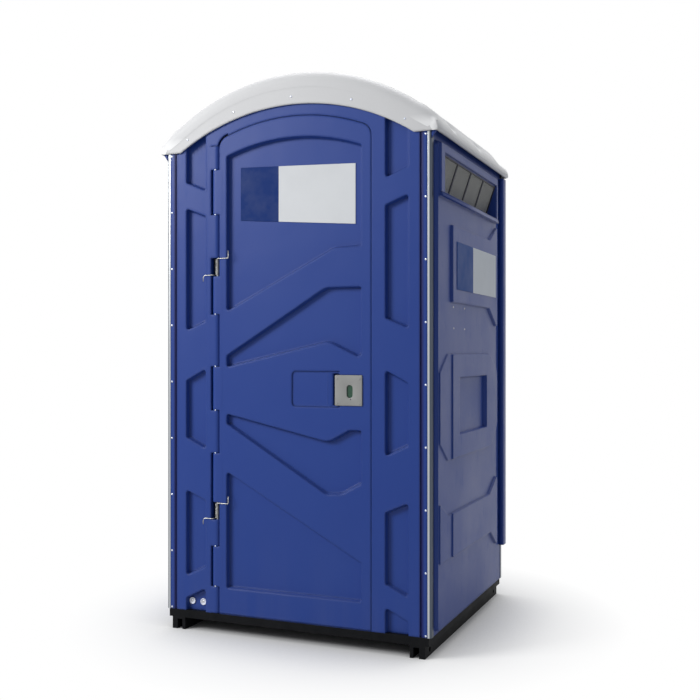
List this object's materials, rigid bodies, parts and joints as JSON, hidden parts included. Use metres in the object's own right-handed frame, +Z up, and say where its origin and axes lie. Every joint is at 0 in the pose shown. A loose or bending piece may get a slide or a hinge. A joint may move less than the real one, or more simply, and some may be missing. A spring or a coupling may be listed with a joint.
{
  "type": "portable toilet cabin",
  "caption": "Moulded plastic toilet cabin with an arched sprung door, knuckled hinge, sliding bolt with indicator, vented stepped side walls, ribbed arched roof, holding tank with seat and lid, and skid runners",
  "frame": {"origin": "on the ground, in the middle of the cabin's footprint", "axes": "X to the right seen from the door side, Y from the door to the back, Z up"},
  "size_m": [1.234, 1.126, 2.3078],
  "materials": {
    "shell_blue": "moulded polyethylene, fine matt texture, blue",
    "roof_grey": "moulded polyethylene, pale grey",
    "liner_grey": "moulded polyethylene, mid grey",
    "base_black": "moulded recycled polyethylene, black",
    "skid_black": "extruded recycled polyethylene, black",
    "trim_aluminium": "mill-finish extrusion",
    "spring_steel": "zinc-plated spring wire",
    "pin_steel": "drawn steel rod",
    "latch_grey": "moulded grey, satin",
    "indicator_green": "moulded, green and red halves",
    "latch_black": "moulded nylon, black",
    "screen_grey": "moulded mesh",
    "tank_grey": "moulded polyethylene, dark grey",
    "seat_black": "moulded, polished",
    "urinal_grey": "moulded polyethylene, mid grey",
    "pipe_grey": "extruded pipe",
    "paper_white": "soft wound paper",
    "disc_dark": "moulded plug, dark blue"
  },
  "bodies": {
    "cabin": {"base_tray": "base_black", "skid_runner_right": "skid_black", "skid_runner_left": "skid_black", "front_frame": "shell_blue", "frame_liner": "liner_grey", "hinge_pin": "pin_steel", "closer_springs": "spring_steel", "latch_keeper": "latch_black", "side_panel_right": "shell_blue", "side_panel_left": "shell_blue", "vent_grille_right": "shell_blue", "vent_grille_left": "shell_blue", "vent_screen_right": "screen_grey", "vent_screen_left": "screen_grey", "back_panel": "shell_blue", "corner_trim_front_right": "trim_aluminium", "corner_trim_front_left": "trim_aluminium", "corner_trim_rear_right": "trim_aluminium", "corner_trim_rear_left": "trim_aluminium", "rear_post_right": "shell_blue", "rear_post_left": "shell_blue", "roof": "roof_grey", "eave_gussets": "base_black", "marker_discs": "disc_dark", "holding_tank": "tank_grey", "seat_hinge_pin": "pin_steel", "urinal": "urinal_grey", "urinal_drain_pipe": "pipe_grey", "paper_holder": "latch_black", "paper_rod": "pin_steel", "vent_pipe": "pipe_grey", "vent_pipe_clip": "pipe_grey", "coat_hook": "latch_black"},
    "door": {"door_skin": "shell_blue", "door_liner": "liner_grey", "latch_plate": "latch_grey", "latch_case": "latch_black", "inner_pull_handle": "latch_black"},
    "bolt": {"latch_bolt": "latch_black", "occupancy_indicator": "indicator_green"},
    "thumb": {"thumb_turn": "latch_black"},
    "seat": {"toilet_seat": "seat_black"},
    "lid": {"seat_lid": "seat_black"},
    "roll_front": {"paper_roll_front": "paper_white"},
    "roll_rear": {"paper_roll_rear": "paper_white"}
  },
  "joints": [
    {"name": "door_swing", "type": "hinge", "parent": "cabin", "child": "door", "pos_m": [-0.356, -0.536, 1], "axis": [0, 0, -1], "range_deg": [0, 90], "stiffness_Nm_per_rad": 3, "springref_deg": -28.65, "deforming": ["closer_springs"]},
    {"name": "thumb_swing", "type": "hinge", "parent": "door", "child": "thumb", "pos_m": [0.2705, -0.495, 1.02], "axis": [0, 1, 0], "range_deg": [0, 90]},
    {"name": "bolt_slide", "type": "slide", "parent": "door", "child": "bolt", "axis": [1, 0, 0], "range_m": [0, 0.028]},
    {"name": "seat_lift", "type": "hinge", "parent": "cabin", "child": "seat", "pos_m": [0, 0.476, 0.5], "axis": [-1, 0, 0], "range_deg": [0, 84]},
    {"name": "lid_lift", "type": "hinge", "parent": "cabin", "child": "lid", "pos_m": [0, 0.476, 0.5], "axis": [-1, 0, 0], "range_deg": [-94, 0]},
    {"name": "roll_front_spin", "type": "hinge", "parent": "cabin", "child": "roll_front", "pos_m": [0.5317, -0.207, 0.6413], "axis": [0, 1, 0], "continuous": true},
    {"name": "roll_rear_spin", "type": "hinge", "parent": "cabin", "child": "roll_rear", "pos_m": [0.5317, -0.093, 0.6413], "axis": [0, 1, 0], "continuous": true}
  ],
  "couplings": [
    {"joint": "bolt_slide", "follows": "thumb_swing", "m_per_rad": 0.017825}
  ]
}
